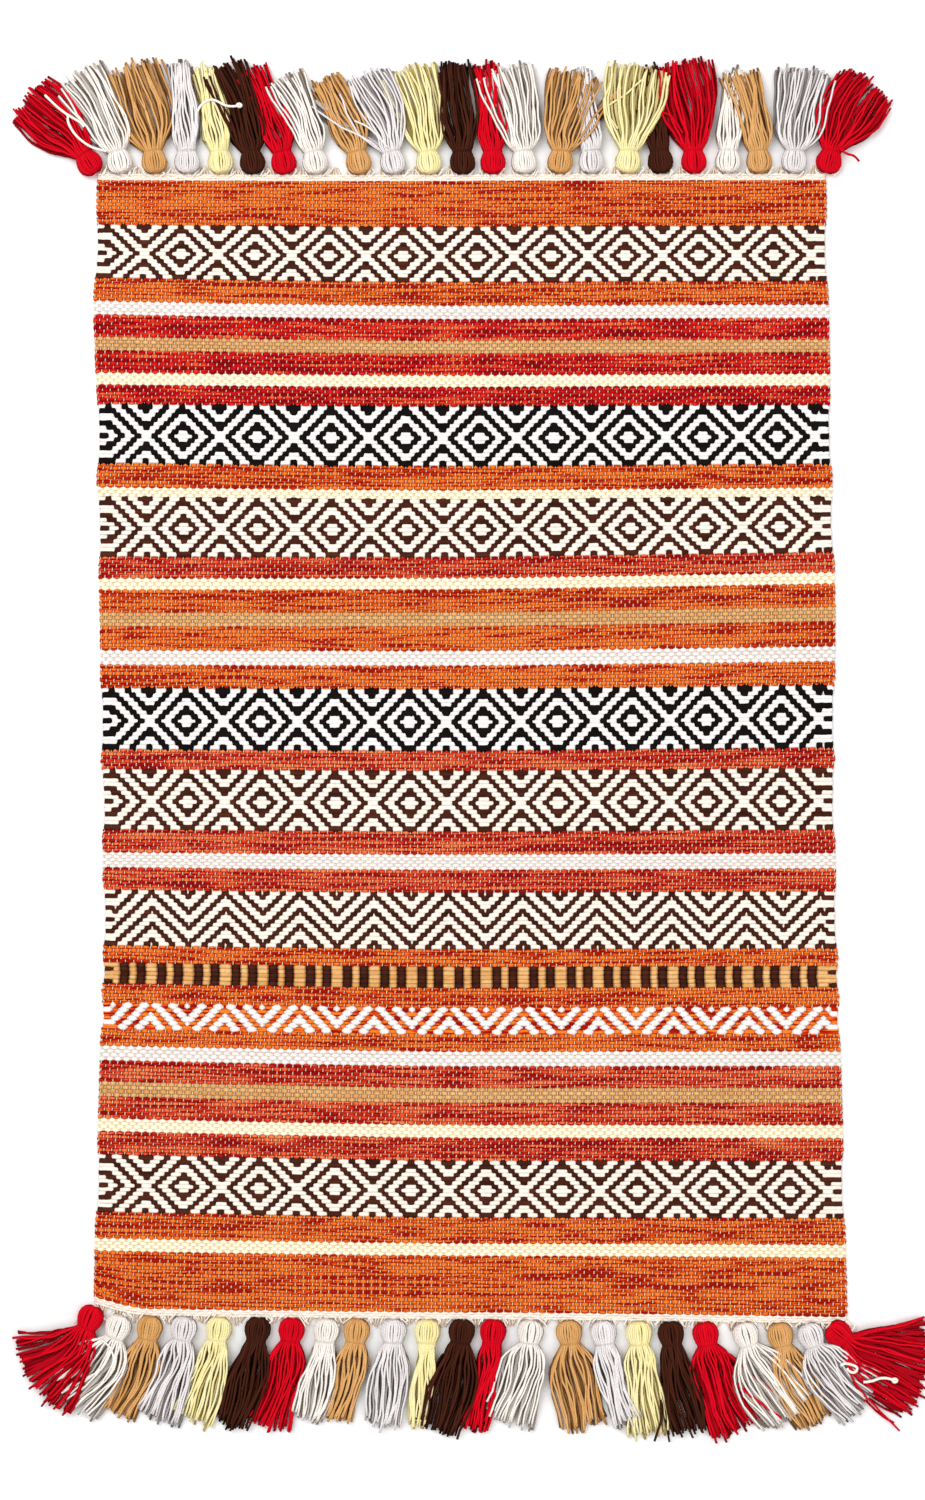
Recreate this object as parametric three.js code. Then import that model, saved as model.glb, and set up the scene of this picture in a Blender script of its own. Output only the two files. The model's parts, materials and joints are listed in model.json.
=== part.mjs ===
// A small flat-woven cotton rug with a row of tassels along each short end, lying flat on the floor.
// Millimetres. +Z is up, +Y runs along the rug towards its far end, +X is to the right.
// The origin is on the floor, under the middle of the rug's bounding box.

import * as THREE from 'three';

// The woven cloth
const CLOTH_WIDTH = 600; // selvedge to selvedge
const CLOTH_LENGTH = 915; // hem to hem, the fold strip included
const CLOTH_THICKNESS = 4;
const FOLD_STRIP_WIDTH = 18; // the cloth that stands up between the halves of the folded rug
const SELVEDGE_STEPS = 6; // facets round each rounded selvedge

// The hems: the bare cream ends of the warp, where the tassels are tied on
const HEM_DEPTH = 8;
const HEM_THICKNESS = 4;

// The tassels. Each one turns about its tie, on a line along X off the hem's edge at half its head's height.
const TASSELS_PER_END = 23;
const CORNER_INSET = 3; // from a selvedge to the even place of a corner tassel's tie
const TIE_WIDTH = 6;
const TIE_HEIGHT = 4;
const TIE_LIFT = 1; // the tie's height above the floor
const HEAD_LENGTH = 18;
const HEAD_WIDTH = 19;
const HEAD_HEIGHT = 11;
const NECK_WIDTH = 12;
const SKIRT_WIDTH = 28; // at its trimmed end, where its neighbours leave it that much room
const CORNER_SKIRT_WIDTH = 52; // a corner tassel has a neighbour on one side only
const SKIRT_START_HEIGHT = 9.5;
const SKIRT_END_HEIGHT = 6;
const SECTION_SIDES = 10;
const HEAD_STATIONS = 4;
const HEAD_START = Math.PI / 4; // where the head's ellipse begins, past the tie
const SKIRT_STATIONS = [0.2, 0.55, 1]; // shares of the skirt's length

// Clearances
const SEAM_GAP = 0.3; // between pieces that touch
const NEIGHBOUR_GAP = 0.8; // between one tassel and the next

// How each tassel happens to lie, from the left: its tie's drift from an even spacing,
// its skirt's lean to the right in degrees, and its length from tie to trimmed end.
const FAR_LIE = {
  drift: [-6, -11, -10, -11, -10, -10, -11, -12, -3, -2, 0, 0, -2, -3, -2, -2, 0, 1, 1, 1, 1, 1, 1],
  lean: [-40, -21, -10, -2, -8, -14, -15, -14, -20, -13, -7, -2, -2, -3, 9, -1, 3, -6, 0, 1, -6, 3, 20],
  length: [86, 89, 90, 91, 90, 95, 93, 85, 86, 86, 88, 91, 91, 88, 84, 86, 88, 89, 93, 85, 84, 86, 86],
};
const NEAR_LIE = {
  drift: [-5, -10, -10, -10, -9, -5, -5, -4, -7, -5, -5, -4, -6, -3, -1, -1, 1, -1, -1, 3, 4, 4, 0],
  lean: [-49, -23, -14, -9, -8, -8, -6, -6, -6, 0, -6, -8, -8, -6, 3, 5, 3, 8, 14, 25, 18, 28, 66],
  length: [86, 80, 82, 82, 85, 87, 87, 80, 80, 83, 84, 89, 88, 81, 85, 82, 91, 91, 90, 84, 84, 82, 86],
};

const YARNS = {
  red: { color: 0xa8101c, roughness: 0.85, metalness: 0 },
  white: { color: 0xf1e8da, roughness: 0.9, metalness: 0 },
  tan: { color: 0xc48a4c, roughness: 0.88, metalness: 0 },
  grey: { color: 0xd8d3d4, roughness: 0.9, metalness: 0 },
  yellow: { color: 0xefdb86, roughness: 0.9, metalness: 0 },
  brown: { color: 0x2f1d18, roughness: 0.85, metalness: 0 },
  orange: { color: 0xd4501f, roughness: 0.88, metalness: 0 },
  cream: { color: 0xf3e7d6, roughness: 0.92, metalness: 0 },
};
const COLOUR_CYCLE = ['red', 'white', 'tan', 'grey', 'yellow', 'brown'];
const CORNER_COLOUR = 'red';

// Worked out from the sizes above
const tassel_pitch = (CLOTH_WIDTH - 2 * CORNER_INSET) / (TASSELS_PER_END - 1);
const hem_start = CLOTH_LENGTH / 2 + SEAM_GAP;
const hem_end = hem_start + HEM_DEPTH;

function yarnMaterial(name) {
  return new THREE.MeshStandardMaterial({ name, ...YARNS[name] });
}

// A flat band of cloth with rounded selvedges, from y0 to y1, lying on the floor.
function clothBand(name, y0, y1, thickness, yarn) {
  const radius = thickness / 2;
  const edge = CLOTH_WIDTH / 2 - radius;
  const outline = new THREE.Shape();
  outline.absarc(edge, radius, radius, -Math.PI / 2, Math.PI / 2, false);
  outline.absarc(-edge, radius, radius, Math.PI / 2, (3 * Math.PI) / 2, false);
  outline.closePath();
  const geometry = new THREE.ExtrudeGeometry(outline, {
    depth: y1 - y0,
    bevelEnabled: false,
    curveSegments: SELVEDGE_STEPS,
  });
  geometry.rotateX(Math.PI / 2);
  const mesh = new THREE.Mesh(geometry, yarnMaterial(yarn));
  mesh.name = name;
  mesh.position.y = y1;
  return mesh;
}

// The middle line of one tassel: straight out from its tie to its neck, then leaning to its tip.
// end is +1 for the far row and -1 for the near row.
function tasselAxis(index, end) {
  const lie = end > 0 ? FAR_LIE : NEAR_LIE;
  const lean = THREE.MathUtils.degToRad(lie.lean[index] ?? 0);
  const length = lie.length[index] ?? lie.length[0];
  const x = (index - (TASSELS_PER_END - 1) / 2) * tassel_pitch + (lie.drift[index] ?? 0);
  const tie = new THREE.Vector2(x, end * hem_end);
  const neck = new THREE.Vector2(x, end * (hem_end + HEAD_LENGTH));
  const skirt = new THREE.Vector2(Math.sin(lean), end * Math.cos(lean)).multiplyScalar(length - HEAD_LENGTH);
  return { tie, neck, tip: neck.clone().add(skirt), lean, length, end };
}

function pointOnAxis(axis, distance) {
  const share = (distance - HEAD_LENGTH) / (axis.length - HEAD_LENGTH);
  return distance < HEAD_LENGTH
    ? axis.tie.clone().lerp(axis.neck, distance / HEAD_LENGTH)
    : axis.neck.clone().lerp(axis.tip, share);
}

function distanceToLine(point, from, to) {
  const line = to.clone().sub(from);
  const share = THREE.MathUtils.clamp(point.clone().sub(from).dot(line) / line.lengthSq(), 0, 1);
  return point.distanceTo(from.clone().addScaledVector(line, share));
}

// Half the width a tassel may have at a distance from its tie, so that neighbours share the room.
function halfRoom(axis, distance, neighbours) {
  const point = pointOnAxis(axis, distance);
  const rooms = neighbours.map(({ tie, neck, tip }) => {
    const between = Math.min(distanceToLine(point, tie, neck), distanceToLine(point, neck, tip));
    return (between - NEIGHBOUR_GAP) / 2;
  });
  return Math.min(...rooms);
}

// The tassel's cross sections: distance from the tie, half width, and lowest and highest point.
function tasselSections(axis, isCorner) {
  const middle = HEAD_HEIGHT / 2;
  const neckTurn = Math.PI - Math.asin(NECK_WIDTH / HEAD_WIDTH);
  const sections = [{ at: SEAM_GAP, half: TIE_WIDTH / 2, low: TIE_LIFT, high: TIE_LIFT + TIE_HEIGHT }];
  for (let k = 0; k < HEAD_STATIONS; k += 1) {
    const turn = THREE.MathUtils.lerp(HEAD_START, neckTurn, k / (HEAD_STATIONS - 1));
    sections.push({
      at: (HEAD_LENGTH * (1 - Math.cos(turn))) / (1 - Math.cos(neckTurn)),
      half: (HEAD_WIDTH / 2) * Math.sin(turn),
      low: middle * (1 - Math.sin(turn)),
      high: middle * (1 + Math.sin(turn)),
    });
  }
  const endWidth = isCorner ? CORNER_SKIRT_WIDTH : SKIRT_WIDTH;
  for (const share of SKIRT_STATIONS) {
    sections.push({
      at: THREE.MathUtils.lerp(HEAD_LENGTH, axis.length, share),
      half: THREE.MathUtils.lerp(HEAD_WIDTH, endWidth, share) / 2,
      low: 0,
      high: THREE.MathUtils.lerp(SKIRT_START_HEIGHT, SKIRT_END_HEIGHT, share),
    });
  }
  return sections;
}

// A closed skin over elliptical sections that stand along the middle line, measured from the tie.
function loftedGeometry(axis, sections) {
  const points = [];
  const level = Math.cos(Math.PI / SECTION_SIDES); // the lowest and highest sides lie level
  for (const { at, half, low, high } of sections) {
    const centre = pointOnAxis(axis, at).sub(axis.tie);
    const bend = (at - HEAD_LENGTH / 2) / HEAD_LENGTH; // spread over a head's length, about the neck
    const lean = axis.lean * THREE.MathUtils.clamp(bend, 0, 1);
    for (let k = 0; k < SECTION_SIDES; k += 1) {
      const turn = (2 * Math.PI * (k + 0.5)) / SECTION_SIDES;
      const across = half * Math.cos(turn);
      const rise = ((high - low) / 2) * THREE.MathUtils.clamp(Math.sin(turn) / level, -1, 1);
      points.push(centre.x + across * Math.cos(lean));
      points.push(centre.y - axis.end * across * Math.sin(lean));
      points.push((low + high) / 2 + rise);
    }
  }
  const faces = [];
  for (let ring = 0; ring < sections.length - 1; ring += 1) {
    for (let k = 0; k < SECTION_SIDES; k += 1) {
      const a = ring * SECTION_SIDES + k;
      const b = ring * SECTION_SIDES + ((k + 1) % SECTION_SIDES);
      const [c, d] = axis.end > 0 ? [a, b] : [b, a];
      faces.push(c, c + SECTION_SIDES, d, d, c + SECTION_SIDES, d + SECTION_SIDES);
    }
  }
  const last = (sections.length - 1) * SECTION_SIDES;
  for (let k = 1; k < SECTION_SIDES - 1; k += 1) {
    const [c, d] = axis.end > 0 ? [k, k + 1] : [k + 1, k];
    faces.push(0, c, d, last, last + d, last + c);
  }
  const geometry = new THREE.BufferGeometry();
  geometry.setAttribute('position', new THREE.Float32BufferAttribute(points, 3));
  geometry.setIndex(faces);
  geometry.computeVertexNormals();
  return geometry;
}

function tasselColour(index) {
  const isLast = index === TASSELS_PER_END - 1;
  return isLast ? CORNER_COLOUR : COLOUR_CYCLE[index % COLOUR_CYCLE.length];
}

// One row of tassels, tied along a hem.
function tasselRow(rowName, end) {
  const row = new THREE.Group();
  const axes = Array.from({ length: TASSELS_PER_END }, (_, index) => tasselAxis(index, end));
  axes.forEach((axis, index) => {
    const neighbours = [axes[index - 1], axes[index + 1]].filter(Boolean);
    const sections = tasselSections(axis, neighbours.length < 2).map((section) => ({
      ...section,
      half: Math.min(section.half, halfRoom(axis, section.at, neighbours)),
    }));
    const mesh = new THREE.Mesh(loftedGeometry(axis, sections), yarnMaterial(tasselColour(index)));
    mesh.name = `tassel_${rowName}_${String(index + 1).padStart(2, '0')}`;
    mesh.position.set(axis.tie.x, axis.tie.y, 0);
    row.add(mesh);
  });
  return row;
}

// The cloth and its hem on one side of the fold strip.
function rugHalf(halfName, end) {
  const half = new THREE.Group();
  const inner = FOLD_STRIP_WIDTH / 2 + SEAM_GAP / 2;
  const outer = CLOTH_LENGTH / 2;
  const span = (a, b) => [Math.min(end * a, end * b), Math.max(end * a, end * b)];
  half.add(clothBand(`cloth_${halfName}`, ...span(inner, outer), CLOTH_THICKNESS, 'orange'));
  half.add(clothBand(`hem_${halfName}`, ...span(hem_start, hem_end), HEM_THICKNESS, 'cream'));
  half.add(tasselRow(halfName, end));
  return half;
}

function buildRug() {
  const rug = new THREE.Group();
  const strip = (FOLD_STRIP_WIDTH - SEAM_GAP) / 2;
  rug.add(rugHalf('near', -1));
  rug.add(clothBand('cloth_fold_strip', -strip, strip, CLOTH_THICKNESS, 'orange'));
  rug.add(rugHalf('far', 1));
  rug.updateMatrixWorld(true);
  const box = new THREE.Box3().setFromObject(rug, true);
  const middle = box.getCenter(new THREE.Vector3());
  rug.position.set(-middle.x, -middle.y, -box.min.z);
  return rug;
}

export default buildRug();
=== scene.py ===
"""Runner rug: every yarn of the cloth, the hems and the 46 tassels, in the CAD model's frame.

Metres throughout. +Y is the far end (the photograph's top), +X its right, +Z up, and the floor is z = 0.
"""
import json
import math

import bpy
import numpy as np
from mathutils import Matrix, Vector


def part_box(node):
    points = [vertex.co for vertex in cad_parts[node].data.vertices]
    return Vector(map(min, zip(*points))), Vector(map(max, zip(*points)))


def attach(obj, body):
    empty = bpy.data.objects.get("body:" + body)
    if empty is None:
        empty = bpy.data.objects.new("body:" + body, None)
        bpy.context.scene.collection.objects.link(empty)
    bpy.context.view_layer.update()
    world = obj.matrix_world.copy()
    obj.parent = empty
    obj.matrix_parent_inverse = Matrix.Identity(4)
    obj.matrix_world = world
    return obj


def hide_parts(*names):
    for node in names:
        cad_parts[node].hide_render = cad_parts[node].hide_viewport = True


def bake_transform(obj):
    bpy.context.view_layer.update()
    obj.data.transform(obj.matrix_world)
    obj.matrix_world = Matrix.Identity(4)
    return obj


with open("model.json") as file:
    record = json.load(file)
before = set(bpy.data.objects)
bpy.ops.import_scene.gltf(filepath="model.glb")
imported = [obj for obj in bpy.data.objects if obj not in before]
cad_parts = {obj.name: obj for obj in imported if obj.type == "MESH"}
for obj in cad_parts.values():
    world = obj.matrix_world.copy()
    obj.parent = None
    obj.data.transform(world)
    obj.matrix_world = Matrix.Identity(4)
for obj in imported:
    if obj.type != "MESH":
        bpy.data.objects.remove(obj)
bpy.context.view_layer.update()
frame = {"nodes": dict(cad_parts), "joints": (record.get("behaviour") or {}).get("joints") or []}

MM = 0.001

# ---- Camera: almost straight above the rug, as the photograph has it ----
CAMERA_AIM = (-0.0027, -0.0103, 0.0)
CAMERA_DISTANCE = 2.0
CAMERA_TILT = math.radians(3.49)
CAMERA_SIDE_TILT = math.radians(0.91)
CAMERA_ROLL = math.radians(-0.29)
SENSOR_HEIGHT = 24.0
LENS = SENSOR_HEIGHT * 1.641


def make_camera():
    data = bpy.data.cameras.new("camera")
    data.sensor_fit = "VERTICAL"
    data.sensor_height = SENSOR_HEIGHT
    data.lens = LENS
    data.clip_end = 20.0
    camera = bpy.data.objects.new("camera", data)
    bpy.context.scene.collection.objects.link(camera)
    turn = (
        Matrix.Rotation(CAMERA_TILT, 4, "X")
        @ Matrix.Rotation(CAMERA_SIDE_TILT, 4, "Y")
        @ Matrix.Rotation(CAMERA_ROLL, 4, "Z")
    )
    back = turn.to_3x3() @ Vector((0, 0, 1))
    camera.matrix_world = Matrix.Translation(Vector(CAMERA_AIM) + CAMERA_DISTANCE * back) @ turn
    bpy.context.scene.camera = camera


# ---- Floor and light ----
FLOOR_SIZE = 12.0
SOFT_LIGHTS = (  # (name, place, size, watts)
    ("key", (-1.3, 1.2, 2.8), 2.2, 60.0),
    ("fill", (1.6, -0.9, 2.6), 2.6, 30.0),
)
SKY_STRENGTH = 0.64
FLOOR_COLOUR = (0.97, 0.97, 0.97, 1.0)
FLOOR_ROUGHNESS = 0.9


def make_studio():
    scene = bpy.context.scene
    scene.view_settings.view_transform = "Standard"
    world = bpy.data.worlds.new("studio")
    world.use_nodes = True
    sky = world.node_tree.nodes["Background"]
    sky.inputs["Color"].default_value = (1.0, 1.0, 1.0, 1.0)
    sky.inputs["Strength"].default_value = SKY_STRENGTH
    scene.world = world

    mesh = bpy.data.meshes.new("floor")
    half = FLOOR_SIZE / 2
    corners = [(-half, -half, 0), (half, -half, 0), (half, half, 0), (-half, half, 0)]
    mesh.from_pydata(corners, [], [(0, 1, 2, 3)])
    floor = bpy.data.objects.new("floor", mesh)
    scene.collection.objects.link(floor)
    material = bpy.data.materials.new("floor")
    material.use_nodes = True
    shader = material.node_tree.nodes["Principled BSDF"]
    shader.inputs["Base Color"].default_value = FLOOR_COLOUR
    shader.inputs["Roughness"].default_value = FLOOR_ROUGHNESS
    mesh.materials.append(material)

    for name, place, size, watts in SOFT_LIGHTS:
        data = bpy.data.lights.new(name, "AREA")
        data.size = size
        data.energy = watts
        light = bpy.data.objects.new(name, data)
        light.location = place
        light.rotation_euler = (-Vector(place)).to_track_quat("-Z", "Y").to_euler()
        scene.collection.objects.link(light)


# ---- Yarn materials ----
# Each yarn's mesh carries two attributes that the materials read:
#   "yarn": distance along the yarn in metres, a number of its own, and how far it stands out of the
#           cloth (-1 to 1), which sets how much painted shade its colour takes
#   "turn": cosine and sine of the angle around the yarn, which also sets the painted shade down its flanks
STREAK_LENGTH = 0.036
STRANDS_APART = 0.8  # how unlike the dye is on a yarn's two flanks
ROW_SHADE_LENGTH = 0.30
ROW_SHADE = 0.09
ROW_SHADE_SPAN = (0.35, 0.65)
STREAK_STEP, ROW_STEP = 61.0, 37.0  # they keep the noise of one yarn apart from the next one's
PLY_PITCH = 0.0052
PLY_ROUNDNESS = 0.7
FIBRE_SCALE, FIBRE_DETAIL = 1500.0, 3.0
FIBRE_SPAN, FIBRE_SHEEN = (0.35, 0.7), 0.22
ROUGH_SPAN, ROUGHNESS = (0.3, 0.7), (0.78, 0.94)
SLUB_SCALE, SLUB_SPAN = 260.0, (0.3, 0.75)
GROOVE_WIDTH = 0.55
SUNK_SPAN = (-0.3, 0.95)  # painted shade from full where fully sunk to none where fully raised
SPECULAR = 0.06
BUMP_STRENGTH, BUMP_DISTANCE = 0.6, 0.0004
PLY_BUMP, FIBRE_BUMP = 0.7, 0.6

# How much of the hollows' colour shows: as painted shade in the grooves between the plies and down the
# flanks (from where to where, as cosine squared), and in uneven patches of darker tone
WEFT_SHADE_AND_PATCHES = {"grooves": 0.12, "flanks": (0.14, 0.75), "patches": 0.25}
WARP_SHADE_AND_PATCHES = {"grooves": 0.10, "flanks": (0.14, 0.75), "patches": 0.25}
HEM_SHADE_AND_PATCHES = {"grooves": 0.15, "flanks": (0.30, 0.90), "patches": 0.15}
TASSEL_SHADE_AND_PATCHES = {"grooves": 0.25, "flanks": (0.30, 0.85), "patches": 0.10}


def rgb(code):
    """A linear colour from a six-digit sRGB code."""
    parts = [int(code[i : i + 2], 16) / 255 for i in (0, 2, 4)]
    return tuple(c / 12.92 if c <= 0.04045 else ((c + 0.055) / 1.055) ** 2.4 for c in parts) + (1.0,)


class Nodes:
    """Short calls for one material's node tree."""

    def __init__(self, material):
        self.tree = material.node_tree

    def add(self, kind, **settings):
        node = self.tree.nodes.new(kind)
        for key, value in settings.items():
            setattr(node, key, value)
        return node

    def feed(self, socket, value):
        if isinstance(value, bpy.types.NodeSocket):
            self.tree.links.new(value, socket)
        else:
            socket.default_value = value

    def math(self, operation, a, b=0.0):
        node = self.add("ShaderNodeMath", operation=operation)
        self.feed(node.inputs[0], a)
        self.feed(node.inputs[1], b)
        return node.outputs[0]

    def attribute(self, name):
        node = self.add("ShaderNodeAttribute", attribute_name=name)
        parts = self.add("ShaderNodeSeparateXYZ")
        self.feed(parts.inputs[0], node.outputs["Vector"])
        return parts.outputs

    def vector(self, x, y, z=0.0):
        node = self.add("ShaderNodeCombineXYZ")
        for socket, value in zip(node.inputs, (x, y, z)):
            self.feed(socket, value)
        return node.outputs[0]

    def noise(self, vector, scale, detail=2.0):
        node = self.add("ShaderNodeTexNoise")
        self.feed(node.inputs["Vector"], vector)
        node.inputs["Scale"].default_value = scale
        node.inputs["Detail"].default_value = detail
        return node.outputs["Fac"]

    def span(self, value, low, high, to_low=0.0, to_high=1.0):
        node = self.add("ShaderNodeMapRange")
        self.feed(node.inputs["Value"], value)
        for key, x in zip(("From Min", "From Max", "To Min", "To Max"), (low, high, to_low, to_high)):
            node.inputs[key].default_value = x
        return node.outputs["Result"]

    def ramp(self, value, stops):
        node = self.add("ShaderNodeValToRGB")
        self.feed(node.inputs[0], value)
        elements = node.color_ramp.elements
        while len(elements) < len(stops):
            elements.new(0.5)
        for element, (position, code) in zip(elements, stops):
            element.position = position
            element.color = rgb(code)
        return node.outputs["Color"]

    def mix(self, fraction, a, b, blend="MIX"):
        node = self.add("ShaderNodeMix", data_type="RGBA", blend_type=blend)
        self.feed(node.inputs["Factor"], fraction)
        self.feed(node.inputs["A"], a)
        self.feed(node.inputs["B"], b)
        return node.outputs["Result"]


def yarn_material(name, stops, shade_and_patch_colour, painted_shade_share, depth):
    """Twisted cotton yarn.

    stops: the colours it is dyed along its length. hollow: the painted shade colour laid down between
    beads, in the grooves between the plies and down the flanks, also used for uneven patches;
    painted_shade_share how much painted shade shows there. depth: WEFT_SHADE_AND_PATCHES or one like it.
    """
    material = bpy.data.materials.new(name)
    material.use_nodes = True
    n = Nodes(material)
    shader = material.node_tree.nodes["Principled BSDF"]
    along, number, lift = n.attribute("yarn")
    cosine, sine = n.attribute("turn")[:2]
    shade_and_patch_colour = rgb(shade_and_patch_colour)

    # each yarn is a few strands side by side, dyed apart, so the streaks are finer than the yarn
    flank = n.math("MULTIPLY", cosine, STRANDS_APART)
    strand = n.math("ADD", n.math("MULTIPLY", number, STREAK_STEP), flank)
    streak = n.noise(n.vector(n.math("MULTIPLY", along, 1 / STREAK_LENGTH), strand), 1.0)
    row = n.math("MULTIPLY", number, ROW_STEP)
    whole_row = n.noise(n.vector(n.math("MULTIPLY", along, 1 / ROW_SHADE_LENGTH), row), 1.0)
    shade = n.span(whole_row, *ROW_SHADE_SPAN, -ROW_SHADE, ROW_SHADE)
    dyed = n.ramp(n.math("ADD", streak, shade), stops)

    place = n.add("ShaderNodeTexCoord").outputs["Object"]
    fibre = n.noise(place, FIBRE_SCALE, FIBRE_DETAIL)
    slub = n.noise(place, SLUB_SCALE)

    # two plies wind round each other, so the yarn is fat where cos(angle - phase) is near 1 or -1
    phase = n.math("MULTIPLY", along, 2 * math.pi / PLY_PITCH)
    twist = n.math(
        "ADD",
        n.math("MULTIPLY", cosine, n.math("COSINE", phase)),
        n.math("MULTIPLY", sine, n.math("SINE", phase)),
    )
    plies = n.math("POWER", n.math("ABSOLUTE", twist), PLY_ROUNDNESS)

    white = (1.0, 1.0, 1.0, 1.0)
    bright = n.mix(n.span(fibre, *FIBRE_SPAN, 0.0, FIBRE_SHEEN), dyed, white, "SOFT_LIGHT")
    # painted shade: the hollows' colour goes into the grooves between the plies, the sunk stretches and
    # the flanks; the slub noise adds uneven patches of it
    groove_shaded = n.mix(n.span(plies, 0.0, GROOVE_WIDTH, depth["grooves"], 0.0), bright, shade_and_patch_colour)
    sunk = n.span(lift, *SUNK_SPAN, painted_shade_share, 0.0)
    flank_shade = n.span(n.math("MULTIPLY", cosine, cosine), *depth["flanks"], 0.0, painted_shade_share)
    shaded = n.mix(n.math("MAXIMUM", sunk, flank_shade), groove_shaded, shade_and_patch_colour)
    patchy = n.mix(n.span(slub, *SLUB_SPAN, 0.0, depth["patches"]), shaded, shade_and_patch_colour)
    n.feed(shader.inputs["Base Color"], patchy)
    n.feed(shader.inputs["Roughness"], n.span(fibre, *ROUGH_SPAN, *ROUGHNESS))
    shader.inputs["Specular IOR Level"].default_value = SPECULAR

    bump = n.add("ShaderNodeBump")
    bump.inputs["Strength"].default_value = BUMP_STRENGTH
    bump.inputs["Distance"].default_value = BUMP_DISTANCE
    relief = n.math("ADD", n.math("MULTIPLY", plies, PLY_BUMP), n.math("MULTIPLY", fibre, FIBRE_BUMP))
    n.feed(bump.inputs["Height"], relief)
    n.feed(shader.inputs["Normal"], bump.outputs["Normal"])
    return material


# yarn name: (record's material slot, dye along the length, painted shade colour in the hollows, how much
# painted shade shows)
WEFTS = {
    "orange": (
        "cloth_orange",
        ((0.38, "960C02"), (0.44, "C82C06"), (0.49, "F66014"), (0.55, "FF8A30"), (0.68, "FF7E26")),
        "8E1204",
        0.8,
    ),
    "red": (
        "yarn_red",
        ((0.38, "7E0208"), (0.45, "B2060E"), (0.52, "E21018"), (0.60, "F43C1C"), (0.66, "FF7036")),
        "76040A",
        0.8,
    ),
    "brick": (
        "yarn_red",
        ((0.38, "8A080A"), (0.45, "BE1810"), (0.51, "E83E22"), (0.58, "FF6838"), (0.66, "FF8A4C")),
        "7A0608",
        0.8,
    ),
    "white": ("yarn_white", ((0.3, "F1EDE9"), (0.7, "FBF9F7")), "CFC4BE", 0.5),
    "cream": ("warp_cream", ((0.3, "F7EEE2"), (0.7, "FFFAF0")), "C8AE94", 0.5),
    "yellow": ("yarn_yellow", ((0.3, "FDF5D4"), (0.7, "FFFCEA")), "E4D2A4", 0.5),
    "tan": ("yarn_tan", ((0.3, "DC9E58"), (0.7, "F6C486")), "8A5222", 0.7),
    "brown": ("yarn_brown", ((0.3, "34170E"), (0.7, "54281A")), "1C0A06", 0.5),
    "black": ("yarn_brown", ((0.3, "0C0808"), (0.7, "1A1212")), "050303", 0.5),
}
# tassel yarn: (record's material slot, shades of its dye, painted shade colour between the strands)
TASSEL_YARNS = {
    "red": ("yarn_red", ((0.3, "CC0218"), (0.7, "EA0A22")), "5E020C"),
    "white": ("yarn_white", ((0.3, "F8F0E6"), (0.7, "FFFBF4")), "6E5644"),
    "tan": ("yarn_tan", ((0.3, "CE924E"), (0.7, "ECB67A")), "5A3214"),
    "grey": ("yarn_grey", ((0.3, "E6DEDE"), (0.7, "FAF6F5")), "54403A"),
    "yellow": ("yarn_yellow", ((0.3, "FBEA9A"), (0.7, "FFF9C8")), "A0843A"),
    "brown": ("yarn_brown", ((0.3, "34160C"), (0.7, "502618")), "0E0503"),
}
# how much painted shade shows on the tassels' sunk and flank parts
TASSEL_PAINTED_SHADE_SHARE = 0.9
# warp and hem yarns: (dye along the length, painted shade colour in the hollows, how much painted shade
# shows)
WARP_YARN = (((0.3, "FFE6C8"), (0.7, "FFF4E0")), "C98F62", 0.35)
HEM_YARN = (((0.3, "FCF3E6"), (0.7, "FFFCF6")), "E2CDB4", 0.35)


# ---- Yarn geometry ----
def tubes(centres, lateral, up, half_width, half_height, sides, along, number, lift):
    """Closed elliptical tubes. centres: tubes x rings x 3. lateral, up: the axes of the section."""
    count, rings = centres.shape[:2]
    angle = 2 * math.pi * np.arange(sides) / sides
    c, s = np.cos(angle), np.sin(angle)
    width = np.broadcast_to(half_width, (count, rings))[..., None, None]
    height = np.broadcast_to(half_height, (count, rings))[..., None, None]
    lateral = np.broadcast_to(lateral, centres.shape)[:, :, None, :]
    up = np.broadcast_to(up, centres.shape)[:, :, None, :]
    points = centres[:, :, None, :] + lateral * width * c[:, None] + up * height * s[:, None]

    index = np.arange(count * rings * sides).reshape(count, rings, sides)
    after = np.roll(index, -1, axis=2)
    quads = np.stack([index[:, :-1], after[:, :-1], after[:, 1:], index[:, 1:]], axis=-1).reshape(-1, 4)
    caps = np.concatenate([index[:, 0, ::-1], index[:, -1]]).reshape(-1, sides)

    shape = (count, rings, sides)
    per_ring = [np.broadcast_to(x, (count, rings))[..., None] for x in (along, number, lift)]
    yarn = np.stack([np.broadcast_to(x, shape) for x in per_ring], -1)
    turn = np.stack([np.broadcast_to(x, shape) for x in (c, s, np.zeros(sides))], -1)
    return points.reshape(-1, 3), quads, caps, yarn.reshape(-1, 3), turn.reshape(-1, 3)


def level_across(points):
    """The level direction across each yarn at each of its points, the last axis but one."""
    direction = np.gradient(points, axis=-2)
    direction[..., 2] = 0
    direction /= np.linalg.norm(direction, axis=-1)[..., None]
    return np.stack([-direction[..., 1], direction[..., 0], np.zeros(direction.shape[:-1])], -1)


def along_yarn(points):
    """How far each point of each yarn is from its first one, along the yarn."""
    step = np.linalg.norm(np.diff(points, axis=-2), axis=-1)
    return np.concatenate([np.zeros((*step.shape[:-1], 1)), np.cumsum(step, -1)], -1)


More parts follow.
